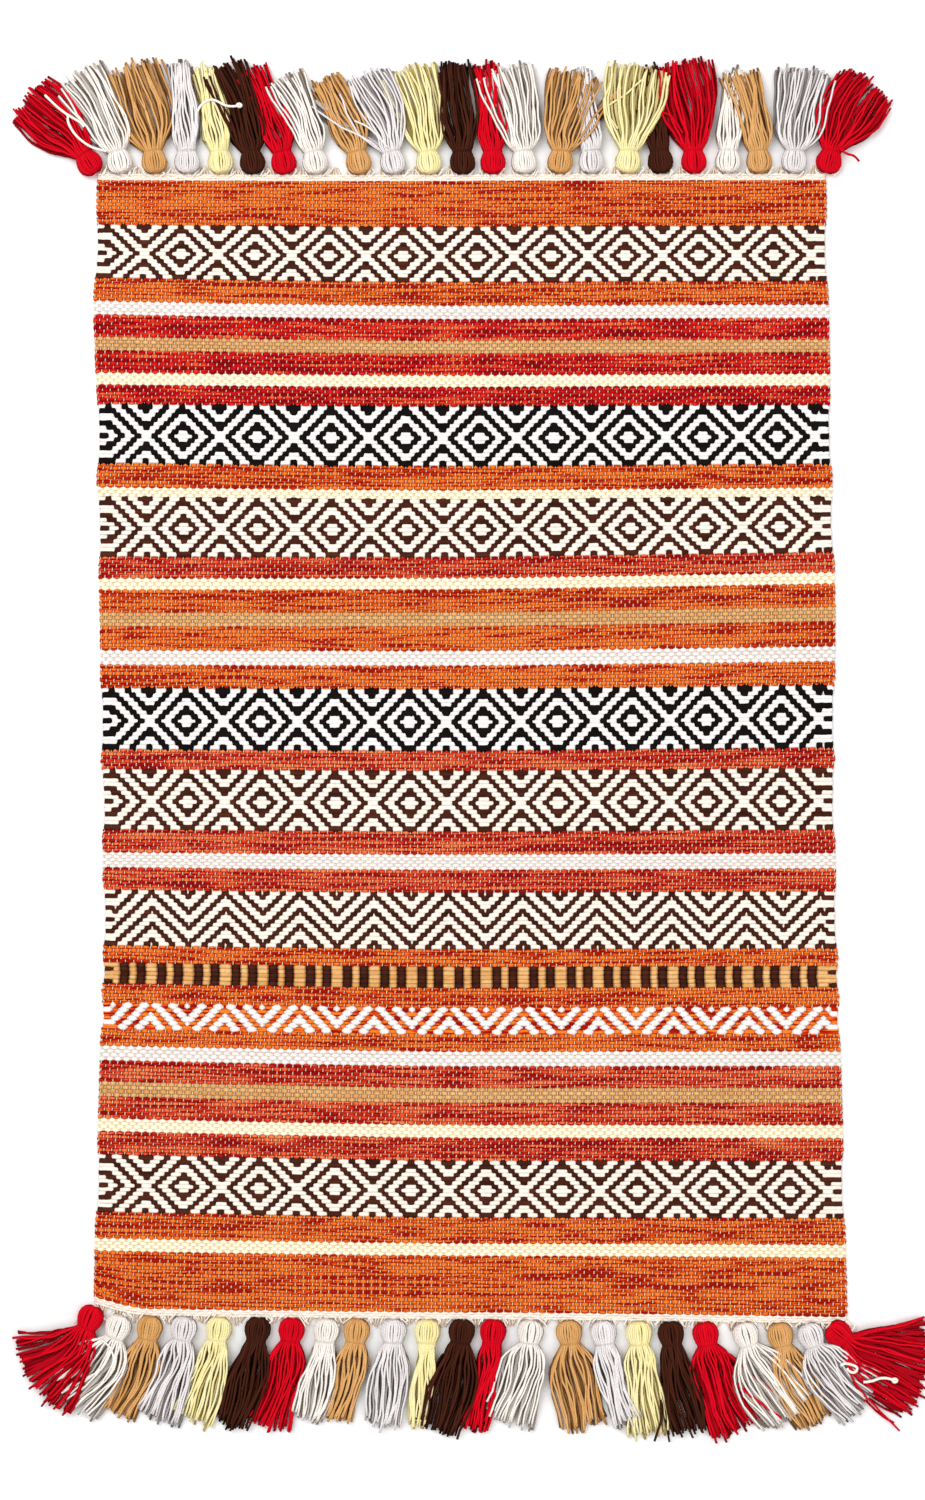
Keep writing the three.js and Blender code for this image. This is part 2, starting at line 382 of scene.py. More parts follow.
def make_piece(name, parts, material):
    """One mesh object of several sets of tubes."""
    points, corners, sizes, yarn, turn, base = [], [], [], [], [], 0
    for p, quads, caps, y, t in parts:
        for faces in (quads, caps):
            corners.append((faces + base).ravel())
            sizes.append(np.full(len(faces), faces.shape[1]))
        points.append(p)
        yarn.append(y)
        turn.append(t)
        base += len(p)
    points, corners, sizes = np.concatenate(points), np.concatenate(corners), np.concatenate(sizes)
    mesh = bpy.data.meshes.new(name)
    mesh.vertices.add(len(points))
    mesh.vertices.foreach_set("co", points.astype(np.float32).ravel())
    mesh.loops.add(len(corners))
    mesh.loops.foreach_set("vertex_index", corners.astype(np.int32))
    mesh.polygons.add(len(sizes))
    mesh.polygons.foreach_set("loop_start", (np.cumsum(sizes) - sizes).astype(np.int32))
    for attribute, values in (("yarn", yarn), ("turn", turn)):
        layer = mesh.attributes.new(attribute, "FLOAT_VECTOR", "POINT")
        layer.data.foreach_set("vector", np.concatenate(values).astype(np.float32).ravel())
    mesh.update(calc_edges=True)
    mesh.polygons.foreach_set("use_smooth", np.ones(len(sizes), bool))
    mesh.materials.append(material)
    obj = bpy.data.objects.new(name, mesh)
    bpy.context.scene.collection.objects.link(obj)
    return obj


# ---- The cloth: bands, from the far end to the near end ----
CLOTH_LOW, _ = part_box("cloth_near")
_, CLOTH_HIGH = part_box("cloth_far")
FOLD_LOW, FOLD_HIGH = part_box("cloth_fold_strip")
MIDDLE = (CLOTH_LOW.y + CLOTH_HIGH.y) / 2
CENTRE_X = (CLOTH_LOW.x + CLOTH_HIGH.x) / 2
CENTRE_Z = (CLOTH_LOW.z + CLOTH_HIGH.z) / 2
CLOTH_LENGTH = CLOTH_HIGH.y - CLOTH_LOW.y
WOVEN_LENGTH = CLOTH_LENGTH + 5 * MM

ENDS = {"far": 1, "near": -1}  # each end, and half, of the rug, and which way it lies along Y
WARPS = 177
PICK_PITCH = 2.75 * MM
TWILL_REPEAT = 18
TWILL_POINT = 2
TWILL_SHAFTS = 4

# (kind, first yarn, second yarn, height in mm), all stretched alike to fill WOVEN_LENGTH
BANDS = (
    ("plain", "orange", None, 38.8),
    ("diamond", "cream", "brown", 45.4),
    ("plain", "orange", None, 20.0),
    ("plain", "white", None, 11.2),
    ("plain", "red", None, 17.8),
    ("plain", "tan", None, 10.8),
    ("plain", "red", None, 17.8),
    ("plain", "yellow", None, 9.9),
    ("plain", "red", None, 16.5),
    ("diamond", "white", "black", 48.3),
    ("plain", "orange", None, 20.2),
    ("plain", "yellow", None, 7.8),
    ("diamond", "cream", "brown", 46.8),
    ("plain", "brick", None, 17.6),
    ("plain", "yellow", None, 9.4),
    ("plain", "orange", None, 18.8),
    ("plain", "tan", None, 11.5),
    ("plain", "orange", None, 20.0),
    ("plain", "white", None, 12.2),
    ("plain", "orange", None, 19.6),
    ("diamond", "white", "black", 49.2),
    ("plain", "brick", None, 17.1),
    ("diamond", "cream", "brown", 48.6),
    ("plain", "brick", None, 19.0),
    ("plain", "white", None, 12.5),
    ("plain", "brick", None, 18.6),
    ("zigzag", "cream", "brown", 45.1),
    ("plain", "orange", None, 14.5),
    ("blocks", "tan", "brown", 16.9),
    ("plain", "orange", None, 16.1),
    ("arrows", "orange", "white", 20.9),
    ("plain", "orange", None, 14.0),
    ("plain", "white", None, 12.0),
    ("plain", "brick", None, 17.2),
    ("plain", "tan", None, 12.0),
    ("plain", "brick", None, 17.6),
    ("plain", "yellow", None, 10.4),
    ("plain", "brick", None, 18.3),
    ("diamond", "cream", "brown", 44.5),
    ("plain", "orange", None, 21.0),
    ("plain", "yellow", None, 9.9),
    ("plain", "orange", None, 44.7),
)
MOTIF_ROWS = {"diamond": 14, "zigzag": 14, "blocks": 5, "arrows": 6}
DIAMOND_CENTRE_ROW = 7

# The hand-made rug's own outline, read off the photograph: (distance from the middle towards the far
# end, left edge, right edge), and how far its rows rise at the left and right against their middle, in mm
OUTLINE = (
    (458, -301, 297),
    (400, -302, 297),
    (351, -304, 298),
    (276, -300, 298),
    (194, -300, 299),
    (108, -297, 300),
    (0, -296, 298),
    (-79, -294, 297),
    (-165, -293, 298),
    (-216, -294, 299),
    (-375, -298, 301),
    (-458, -299, 302),
)
ROW_RISE = (
    (458, 3.2, -2.0),
    (420, 4.6, -1.4),
    (352, 7.2, -1.2),
    (294, 4.2, -1.0),
    (199, 5.0, 0.0),
    (127, 1.0, 3.2),
    (67, 2.5, 2.0),
    (-98, 3.3, 0.0),
    (-257, 6.0, -0.6),
    (-316, 6.5, -0.8),
    (-410, 4.6, -1.6),
    (-458, 3.8, -4.4),
)
RISE_POWER = 1.3
TABLE_ROUNDING = 18 * MM
# the near left corner is pulled inwards: how far, and how far that reaches across (as a share) and
# along the rug
CORNER_PULL, CORNER_ACROSS, CORNER_ALONG = 9 * MM, 0.14, 50 * MM
CORNER_POWER = 1.5
MOTIF_PULL_IN, PULL_IN_REACH = 2.2 * MM, 5 * MM

# half a yarn's breadth as a share of its row, and how high (-1 to 1) it stays beside the end of a float
PLAIN_SPREAD, PLAIN_SHY = 0.58, 0.5
DENSE_SPREADS = {"red": 0.66}
GROUND_SPREADS = {"diamond": 0.55, "zigzag": 0.55, "blocks": 0.57, "arrows": 0.55}
GROUND_SHY = -1.5
# a motif's figure yarn lies over its ground yarn
FIGURES = {"brown": (0.72, 0.85), "black": (0.88, 1.0), "white": (0.66, -0.3)}
BLOCK_FIGURE = (0.60, -1.3)
FIGURE_RISE = 0.22
FLOAT_SWELL = 0.20
WEFT_LIFT = 0.78 * MM
WEFT_HALF_HEIGHT = 0.78 * MM
WARP_HALF_HEIGHT = 0.88 * MM
WARP_HALF_WIDTH = 0.76 * MM
WARP_SQUEEZE = 0.46 * MM
WARP_LIFT = 0.50 * MM
SELVEDGE_WARPS = 2
SELVEDGE_LEVEL = -0.6
WEFT_SIDES, WARP_SIDES = 6, 4
FLOOR_GAP = 0.05 * MM
FOLD_EASE = 8 * MM

# how uneven the yarns are, as standard deviations
WARP_STRAY = 0.0009
WEFT_WANDER = 0.09 * MM
WEFT_BOB = 0.04 * MM
ROW_FATNESS, BEAD_FATNESS = 0.05, 0.03
HEIGHT_SWELL = 0.06
# the turn of a weft at a selvedge: its shift towards the neighbouring row (as a share of a row), how far
# it reaches out in mm, and its rings: (share of that reach, dip, share of its breadth)
TURN_SHIFT = 0.16
TURN_REACH = (0.9, 1.5)
TURN_RINGS = ((0.65, 0.15 * MM, 0.9), (1.15, 0.7 * MM, 0.5))
# random draws' seeds, and what keeps the noise of one yarn apart from the next one's
WARP_PLACE_SEED, WEFT_SEED, WARP_SEED, HEM_SEED, WISP_SEED = 11, 1000, 5, 40, 70
BAND_NUMBER, ROW_NUMBER, WARP_NUMBER, HEM_NUMBER = 3.1, 0.137, 0.7, 300.0
WEFT_ALONG, WARP_ALONG = 10.0, 3.0  # added to x and y, so that distances along a yarn are positive


def smooth_table(table, at, column):
    """A listed table's column at the given distances, with its corners rounded."""
    rows = np.array(sorted(table), float) * MM
    places = [at + share * TABLE_ROUNDING for share in (-1, -0.5, 0, 0.5, 1)]
    return np.mean([np.interp(place, rows[:, 0], rows[:, column]) for place in places], 0)


def cloth_rows():
    """Every row of weft: its place from the middle, its height, its band and its place in that."""
    scale = WOVEN_LENGTH / (sum(b[3] for b in BANDS) * MM)
    rows, top = [], WOVEN_LENGTH / 2
    for band, (kind, _first, _second, height) in enumerate(BANDS):
        height *= MM * scale
        count = MOTIF_ROWS.get(kind) or max(3, round(height / PICK_PITCH))
        for k in range(count):
            rows.append((top - (k + 0.5) * height / count, height / count, band, k))
        top -= height
    return rows


ROWS = cloth_rows()
ROW_Y = np.array([r[0] for r in ROWS])
ROW_HEIGHT = np.array([r[1] for r in ROWS])
ROW_BAND = np.array([r[2] for r in ROWS])
ROW_PLACE = np.array([r[3] for r in ROWS])


def pulled_in(y):
    """How far motif bands draw the edges in, at distances y from the middle."""
    motif = np.array([BANDS[b][0] != "plain" for b in ROW_BAND], float)
    order = np.argsort(ROW_Y)
    places = [y + reach for reach in (-PULL_IN_REACH, 0, PULL_IN_REACH)]
    return np.mean([np.interp(place, ROW_Y[order], motif[order]) for place in places], 0) * MOTIF_PULL_IN


def on_cloth(across, y):
    """World x and y of points: across from -1 (left edge) to 1 (right edge), y from the middle."""
    left = smooth_table(OUTLINE, y, 1) + pulled_in(y)
    right = smooth_table(OUTLINE, y, 2) - pulled_in(y)
    x = CENTRE_X + (left + right) / 2 + across * (right - left) / 2
    left_rise, right_rise = smooth_table(ROW_RISE, y, 1), smooth_table(ROW_RISE, y, 2)
    rise = np.where(across < 0, left_rise, right_rise) * np.abs(across) ** RISE_POWER
    near = np.clip((-y - WOVEN_LENGTH / 2) / CORNER_ALONG + 1, 0, 1)
    near_left = np.clip((-across - 1) / CORNER_ACROSS + 1, 0, 1) * near
    return x, MIDDLE + y + rise + CORNER_PULL * near_left**CORNER_POWER


def warp_across():
    """Where each warp lies, from -1 to 1, a little uneven."""
    rng = np.random.default_rng(WARP_PLACE_SEED)
    return np.linspace(-1, 1, WARPS) + rng.normal(0, WARP_STRAY, WARPS)


ACROSS = warp_across()
TWILL_PHASE = (np.arange(WARPS) - TWILL_POINT + TWILL_REPEAT // 2) % TWILL_REPEAT
TWILL_DISTANCE = np.abs(TWILL_PHASE - TWILL_REPEAT // 2)  # from each warp to the nearest turning point
EDGE = (np.arange(WARPS) < SELVEDGE_WARPS) | (np.arange(WARPS) >= WARPS - SELVEDGE_WARPS)


def second_over(kind, place):
    """Which warps the second yarn of a motif row passes over."""
    u = TWILL_DISTANCE
    if kind == "diamond":
        over = (u + abs(place - DIAMOND_CENTRE_ROW)) % TWILL_SHAFTS == 3
    elif kind == "zigzag":
        over = (u + place) % TWILL_SHAFTS == 1
    elif kind == "blocks":
        over = (u % TWILL_SHAFTS) >= 2
    else:
        over = np.isin((u + place) % TWILL_SHAFTS, (0, 3))
    if kind == "diamond":
        # the figure yarn closes over the one warp between two floats at each turning point
        over = over | (np.roll(over, 1) & np.roll(over, -1))
    return np.where(EDGE, place % 3 == 1, over)


def between(values):
    """values at the warps, with the mean of each two neighbours between them."""
    out = np.empty(values.shape[:-1] + (2 * values.shape[-1] - 1,))
    out[..., 0::2] = values
    out[..., 1::2] = (values[..., :-1] + values[..., 1:]) / 2
    return out


def mean_of_three(noise, divisor=3):
    """Noise along each yarn, smoothed over three neighbours."""
    return (noise + np.roll(noise, 1, 1) + np.roll(noise, 2, 1)) / divisor


def selvedge_turn(rng, rows, side, x, y, z, half):
    """The rings past a selvedge, where a weft rounds the outer warps towards its neighbouring row."""
    partner = np.where((ROW_PLACE[rows] + (side > 0)) % 2 == 0, 1, -1) * TURN_SHIFT * ROW_HEIGHT[rows]
    reach = rng.uniform(*TURN_REACH, len(rows)) * MM
    return [
        (x + side * reach * share, y + partner * share, z - dip, half * breadth)
        for share, dip, breadth in TURN_RINGS
    ]


def weft_tubes(rows, over, spread, number, shy, rise):
    """The tubes of one yarn in some rows.

    over: rows x warps, True where it passes over the warp. spread: half its breadth as a share of a row.
    shy: its level between two warps where it changes sides. rise: how much higher than its level it lies.
    """
    rng = np.random.default_rng(WEFT_SEED + int(rows[0]))
    level = between(np.where(over, 1.0, -1.0))
    level[:, 1::2] = np.where(level[:, 1::2] == 0, shy, level[:, 1::2])
    across = between(ACROSS)
    y = ROW_Y[rows][:, None] + np.zeros((1, len(across)))
    x, world_y = on_cloth(np.broadcast_to(across, y.shape), y)
    wander = mean_of_three(rng.normal(0, WEFT_WANDER, y.shape), 2)
    fat = 1 + rng.normal(0, ROW_FATNESS, (len(rows), 1)) + rng.normal(0, BEAD_FATNESS, y.shape)
    half = ROW_HEIGHT[rows][:, None] * spread * (1 + FLOAT_SWELL * level.clip(-1, 1)) * fat
    z = CENTRE_Z + WEFT_LIFT * (level + rise) + rng.normal(0, WEFT_BOB, level.shape)

    left, right = (
        selvedge_turn(rng, rows, side, x[:, edge], world_y[:, edge], z[:, edge], half[:, edge])
        for side, edge in ((-1, 0), (1, -1))
    )
    x, world_y, z, half = (
        np.column_stack([*(ring[i] for ring in left[::-1]), middle, *(ring[i] for ring in right)])
        for i, middle in enumerate((x, world_y + wander, z, half))
    )
    turn = len(TURN_RINGS)
    level = np.pad(level, ((0, 0), (turn, turn)), mode="edge")
    height = WEFT_HALF_HEIGHT * (1 + HEIGHT_SWELL * level.clip(-1, 1))
    centres = np.stack([x, world_y, np.maximum(z, height + FLOOR_GAP)], -1)
    numbers = (number + rows * ROW_NUMBER)[:, None]
    return tubes(centres, (0, 1, 0), (0, 0, 1), half, height, WEFT_SIDES, x + WEFT_ALONG, numbers, level)


def bend_at_fold(obj):
    """Bakes obj's placement into its mesh; it stays unattached and does not bend."""
    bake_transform(obj)


def ride_cloth(obj, half, low, high):
    """obj, from low to high in y, is attached to its half of the cloth, or, if it comes near the fold,
    left unattached with its placement baked in.
    """
    clear = low > FOLD_HIGH.y + FOLD_EASE if half == "far" else high < FOLD_LOW.y - FOLD_EASE
    if clear:
        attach(obj, f"{half}_half")
    else:
        bend_at_fold(obj)


def band_yarns(band, rows):
    """The yarns of some rows of a band: (name, where it passes over the warps, spread, shy, rise)."""
    kind, first, second, _height = BANDS[band]
    if kind == "plain":
        over = (np.arange(WARPS) + rows[:, None]) % 2 == 0
        return [(first, over, DENSE_SPREADS.get(first, PLAIN_SPREAD), PLAIN_SHY, 0.0)]
    over = np.stack([second_over(kind, place) for place in ROW_PLACE[rows]])
    figure = BLOCK_FIGURE if kind == "blocks" else FIGURES[second]
    return [(first, ~over, GROUND_SPREADS[kind], GROUND_SHY, 0.0), (second, over, *figure, FIGURE_RISE)]


def make_bands(materials):
    """The wefts: a piece for each yarn of each band, and two where the fold's middle crosses a band."""
    made = {"near": [], "far": []}
    for band, (kind, *_rest) in enumerate(BANDS):
        for half in ENDS:
            rows = np.flatnonzero((ROW_BAND == band) & ((ROW_Y > 0) == (half == "far")))
            if not len(rows):
                continue
            low, high = (MIDDLE + ROW_Y[rows][[-1, 0]]).tolist()
            for index, (yarn, over, spread, shy, rise) in enumerate(band_yarns(band, rows)):
                name = f"band_{band + 1:02d}_{kind}_{yarn}_{half}"
                parts = [weft_tubes(rows, over, spread, band * BAND_NUMBER + index, shy, rise)]
                obj = make_piece(name, parts, materials[yarn])
                ride_cloth(obj, half, low, high)
                made[half].append(obj)
    return made


# ---- Warps and hems ----
HEM_PICKS = 3
HEM_DEPTH = 5.6 * MM
HEM_LEVELS = (1.0, -0.8)
HEM_WANDER = 0.25 * MM
HEM_BREADTH, HEM_SWELL, HEM_FATNESS = 0.56, 0.06, 0.03
HEM_WAVE = 0.5 * WEFT_LIFT
HEM_LIFT, HEM_HALF_HEIGHT = 0.2 * MM, 1.15 * MM
# the warps' ends are gathered into tufts: how uneven they end and how high they lie, in mm, how far they
# stray, and how much of their spacing is left at the root and at the tip
TUFT_WARPS = 4
TUFT_REACH = 5.5 * MM
TUFT_UNEVEN = (-2.0, 1.6)
TUFT_HEIGHT = (1.0, 2.6)
TUFT_STRAY = 0.002
TUFT_ROOT, TUFT_TIP = 0.8, 0.35


def warp_levels():
    """How high each warp stands at each row: over where the weft is under, level inside two-yarn rows."""
    level = np.zeros((WARPS, len(ROWS)))
    for r, band in enumerate(ROW_BAND):
        if BANDS[band][0] == "plain":
            level[:, r] = np.where((np.arange(WARPS) + r) % 2 == 0, -1.0, 1.0)
        else:
            level[EDGE, r] = SELVEDGE_LEVEL
    return level


def make_warps(material):
    """The warps, in two halves that meet at the fold's middle, with their ends gathered into tufts."""
    rng = np.random.default_rng(WARP_SEED)
    levels, made = warp_levels(), {}
    end, beyond = WOVEN_LENGTH / 2, HEM_PICKS + 2
    for half, sign in ENDS.items():
        rows = np.flatnonzero((ROW_Y > 0) == (half == "far"))
        rows = rows[np.argsort(sign * ROW_Y[rows])]  # from the fold outwards
        hem = end + HEM_DEPTH * (np.arange(HEM_PICKS) + 0.5) / HEM_PICKS
        tuft_rings = [end + HEM_DEPTH, end + HEM_DEPTH + TUFT_REACH]
        distance = np.concatenate([[0.0], np.abs(ROW_Y[rows]), hem, tuft_rings])
        y = np.broadcast_to(sign * distance, (WARPS, len(distance))).copy()
        level = np.concatenate([np.zeros((WARPS, 1)), levels[:, rows], np.zeros((WARPS, beyond))], 1)
        # how raised each ring counts for the painted shade: the hem and tuft rings count as fully raised
        # and get none
        shade_lift = level.copy()
        shade_lift[:, -beyond:] = 1.0
        y[:, -1] += sign * rng.uniform(*TUFT_UNEVEN, WARPS) * MM
        across = np.broadcast_to(ACROSS[:, None], y.shape).copy()
        tuft = np.arange(WARPS) // TUFT_WARPS
        gathered = np.array([ACROSS[tuft == t].mean() for t in tuft]) + rng.normal(0, TUFT_STRAY, WARPS)
        across[:, -1] = gathered + (ACROSS - gathered) * TUFT_TIP
        across[:, -2] = gathered + (ACROSS - gathered) * TUFT_ROOT
        x, world_y = on_cloth(across, y)
        z = CENTRE_Z + WARP_LIFT * level
        z[:, -1] = rng.uniform(*TUFT_HEIGHT, WARPS) * MM
        centres = np.stack([x, world_y, z], -1)
        width = WARP_HALF_WIDTH - WARP_SQUEEZE * level
        numbers = np.arange(WARPS)[:, None] * WARP_NUMBER
        lateral, up = (-sign, 0, 0), (0, 0, 1)
        along = y + WARP_ALONG
        parts = [tubes(centres, lateral, up, width, WARP_HALF_HEIGHT, WARP_SIDES, along, numbers, shade_lift)]
        made[half] = make_piece(f"warps_{half}", parts, material)
        bend_at_fold(made[half])
    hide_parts("cloth_near", "cloth_fold_strip")
    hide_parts("cloth_far")
    return made


def make_hems(material):
    """A few thick cream picks beyond the last coloured one at each end."""
    made = {}
    pitch = HEM_DEPTH / HEM_PICKS
    distance = WOVEN_LENGTH / 2 + pitch * (np.arange(HEM_PICKS) + 0.5)
    over = (np.arange(WARPS) + np.arange(HEM_PICKS)[:, None]) % 2 == 0
    level = between(np.where(over, *HEM_LEVELS))
    across = np.broadcast_to(between(ACROSS), level.shape)
    for half, sign in ENDS.items():
        rng = np.random.default_rng(HEM_SEED + sign)
        x, world_y = on_cloth(across, sign * np.broadcast_to(distance[:, None], level.shape))
        wander = mean_of_three(rng.normal(0, HEM_WANDER, level.shape))
        z = CENTRE_Z + HEM_WAVE * level + HEM_LIFT
        centres = np.stack([x, world_y + wander, z], -1)
        width = pitch * (HEM_BREADTH + HEM_SWELL * level + rng.normal(0, HEM_FATNESS, level.shape))
        numbers = distance[:, None] * HEM_NUMBER
        axes, along = ((0, 1, 0), (0, 0, 1)), x + WEFT_ALONG
        parts = [tubes(centres, *axes, width, HEM_HALF_HEIGHT, WEFT_SIDES, along, numbers, level)]
        obj = make_piece(f"hem_picks_{half}", parts, material)
        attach(obj, f"{half}_half")
        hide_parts(f"hem_{half}")
        made[half] = obj
    return made


# ---- Tassels ----
TASSELS = 23
TASSEL_COLOURS = (("red", "white", "tan", "grey", "yellow", "brown") * 4)[: TASSELS - 1] + ("red",)
HEAD_LENGTH = 18 * MM
TIP_RING = 10
# How wide each skirt's end spreads, in mm, from the left
SPREADS = {
    "far": (49, 42, 50, 22, 23, 35, 27, 29, 31, 44, 42, 31, 24, 42, 47, 17, 48, 25, 43, 20, 29, 43, 55),
    "near": (66, 47, 30, 34, 30, 29, 31, 26, 25, 29, 15, 35, 19, 39, 37, 21, 29, 28, 41, 52, 30, 45, 84),
}
# Strands that leave the bundle, by end and number: (from, to, how far their tips go to the right in mm),
# where from and to are places across the bundle, from -1 (left) to 1 (right)
LOCKS = {
    "far": {10: ((-1.0, -0.72, -26),), 15: ((0.72, 1.0, 14),), 17: ((-1.0, -0.1, -4), (0.1, 1.0, 3))},
    "near": {1: ((-1.0, -0.8, -6),), 19: ((0.93, 1.0, 22),)},
}
# How far the middle of a skirt's end lies from its CAD solid's, in mm to the right and outwards
TIP_SHIFTS = {
    "far": {
        1: (2, 7), 2: (1, 3), 3: (1, 4), 4: (5, 1), 5: (4, 0), 9: (5, 3), 11: (3, 1), 12: (7, 0),
        13: (8, 0), 19: (4, 0), 20: (-2, 0), 22: (-4, 0), 23: (-7, 2),
    },
    "near": {
        1: (20, 8), 2: (-5, -7), 5: (0, -2), 11: (7, 0), 13: (4, 0), 15: (-4, 0), 17: (-9, -1),
        18: (-8, -2), 19: (-4, 0), 20: (4, -3), 22: (0, -7), 23: (-4, 17),
    },
}
# A tassel that is tied on beside its CAD solid, in mm to the right and outwards
TIE_SHIFTS = {"far": {}, "near": {1: (3, -7), 2: (3, 0), 22: (-4, 0), 23: (-9, 1)}}
HEAD_STATIONS = (0.0, 0.10, 0.24, 0.42, 0.60, 0.78, 0.92, 1.0)
HEAD_HALF_WIDTH = (3.4, 6.8, 8.8, 9.6, 9.3, 8.2, 7.0, 6.7)
HEAD_HALF_HEIGHT = (2.2, 3.8, 4.6, 4.9, 4.6, 4.1, 3.5, 3.3)
NECK_HALF_WIDTH = HEAD_HALF_WIDTH[-1] * MM
NECK = len(HEAD_STATIONS) - 1
SKIRT_STATIONS = np.array((0.06, 0.13, 0.21, 0.3, 0.39, 0.48, 0.57, 0.66, 0.75, 0.84, 0.92, 1.0))
SKIRT_EASE = np.clip(SKIRT_STATIONS / 0.22, 0, 1)  # how far a strand has left its place in the head
STRAND_RADIUS = 1.0 * MM
LOWEST_STRAND = 1.25 * STRAND_RADIUS
HEAD_THICKENING = 1.18
SHELL_STRANDS = 28
STRAND_WAVE = 0.8 * MM
CLUMP_WAVE = 1.7 * MM
# narrow skirts open at once, like a bell, and broad ones gradually, like a fan
BELL_SPREADS = (34 * MM, 50 * MM, 66 * MM)
BELL_POWERS = (5.0, 2.8, 1.3)
CORE_LAYERS = (-0.45, 0.15)  # how high the core's strands lie in the skirt, -1 to 1
CORE_IN_HEAD = (0.45, 0.4)
CORE_STRANDS, CORE_FROM_SPREAD, CORE_PER_MM = 15, 24, 1.3  # and more for each mm past that spread
FAR_LEAN = math.radians(40)
HEAD_LEAN, FAR_HEAD_LEAN = 0.55, 0.8  # shares of the skirt's lean, the second one past FAR_LEAN
SKIRT_BEND = 0.38
SKIRT_FALL, SKIRT_END = 3.2 * MM, 2.1 * MM
SKIRT_SINK = 0.2 * MM
DRIFT_POWER, LOCK_POWER, FALL_POWER = 1.5, 1.6, 1.5
LOCK_MARGIN = 0.05
STRAND_WAVES = ((1.3, 1.0), (2.9, 0.55), (4.6, 0.2))  # (cycles along a skirt, size)
WAVE_SIZES = (0.4, 1.0)
WAVE_EASE, RAISE_EASE = 0.2, 0.3  # the share of a skirt's length over which it takes on waves and its lift
CLUMP_CYCLES, CLUMP_TWIST, CLUMP_START = 0.9, 2.2, 6.0
INNER_SHADE = 0.75
STRAND_SIDES = 5
# how uneven the strands are, as standard deviations
ANGLE_STRAY, PLACE_STRAY, DRIFT = 0.03, 0.05, 0.11
HEAD_STRAY, SKIRT_BOB = 0.12 * MM, 0.18 * MM
SLACK_MEAN, SLACK_STRAY = -0.01, 0.035
THICKNESS_STRAY, THICKNESS_LIMIT = 0.06, 0.1
# every second skirt lies a little over its neighbours, and these lie otherwise, in mm
EVEN_LIFT = 1.6
SKIRT_LIFTS = {
    "far": {15: 2.4, 16: 0.0, 17: 3.6, 18: 0.0, 19: 2.4, 20: 0.0, 21: 2.4},
    "near": {1: 3.4},
}
TIE_Z = 5.5 * MM
BINDING_TURNS, BINDING_RINGS, BINDING_LENGTH = 2.2, 34, 3.0 * MM
BINDING_HALF_WIDTH, BINDING_HALF_HEIGHT = 7.5 * MM, 4.0 * MM
BINDING_YARN = (0.9 * MM, 0.8 * MM)
BINDING_MEAN_RADIUS = 5.0  # in mm
# how raised the binding counts for the painted shade, so that it takes part of it
BINDING_NUMBER, BINDING_SHADE_LIFT = 1.7, 0.6
TASSEL_SEEDS, TASSEL_SEED_STEP = {"far": 0, "near": 1000}, 7
STRAND_NUMBERS = 9.0


def tassel_line(tie, tip, outward):
    """The middle line of a tassel, its rings' points and its unit tangents, in the floor plane."""
    lean = math.atan2(tip[0] - tie[0], (tip[1] - tie[1]) * outward)
    head_lean = lean * (FAR_HEAD_LEAN if abs(lean) > FAR_LEAN else HEAD_LEAN)
    heading = np.array([math.sin(head_lean), outward * math.cos(head_lean)])
    neck = tie + heading * HEAD_LENGTH
    control = neck + heading * SKIRT_BEND * np.linalg.norm(tip - neck)
    head = tie + np.outer(HEAD_STATIONS, heading * HEAD_LENGTH)
    t = SKIRT_STATIONS[:, None]
    skirt = (1 - t) ** 2 * neck + 2 * t * (1 - t) * control + t**2 * tip
    line = np.concatenate([head, skirt])
    tangent = np.gradient(line, axis=0)
    tangent /= np.linalg.norm(tangent, axis=1)[:, None]
    return line, tangent


def waves(rng, count):
    """Sideways waviness of each strand along its skirt, nothing at the neck."""
    t = SKIRT_STATIONS
    total = np.zeros((count, len(t)))
    for cycles, size in STRAND_WAVES:
        phase = rng.uniform(0, 2 * math.pi, (count, 1))
        total += size * rng.uniform(*WAVE_SIZES, (count, 1)) * np.sin(2 * math.pi * cycles * t + phase)
    return total * STRAND_WAVE * np.clip(t / WAVE_EASE, 0, 1)


def bundle_places(rng, core):
    """Where each strand lies, first those round the head's shell and then the core's, all from -1 to 1.

    Its place across and up in the head, its layer in the skirt, and its place across the skirt.
    """
    angle = 2 * math.pi * (np.arange(SHELL_STRANDS) + 0.5) / SHELL_STRANDS
    angle = angle + rng.normal(0, ANGLE_STRAY, SHELL_STRANDS)
    across, up = CORE_IN_HEAD
    head_a = np.concatenate([np.cos(angle), rng.uniform(-across, across, core)])
    head_h = np.concatenate([np.sin(angle), rng.uniform(-up, up, core)])
    layer = np.concatenate([np.where(np.sin(angle) > 0, 1, -1), rng.choice(CORE_LAYERS, core)])
    skirt_a = np.empty(len(layer))
    for value in np.unique(layer):
        chosen = np.flatnonzero(layer == value)
        order = chosen[np.argsort(head_a[chosen])]
        skirt_a[order] = np.linspace(-1, 1, len(order)) if len(order) > 1 else 0.0
    return head_a, head_h, layer, skirt_a + rng.normal(0, PLACE_STRAY, len(layer))


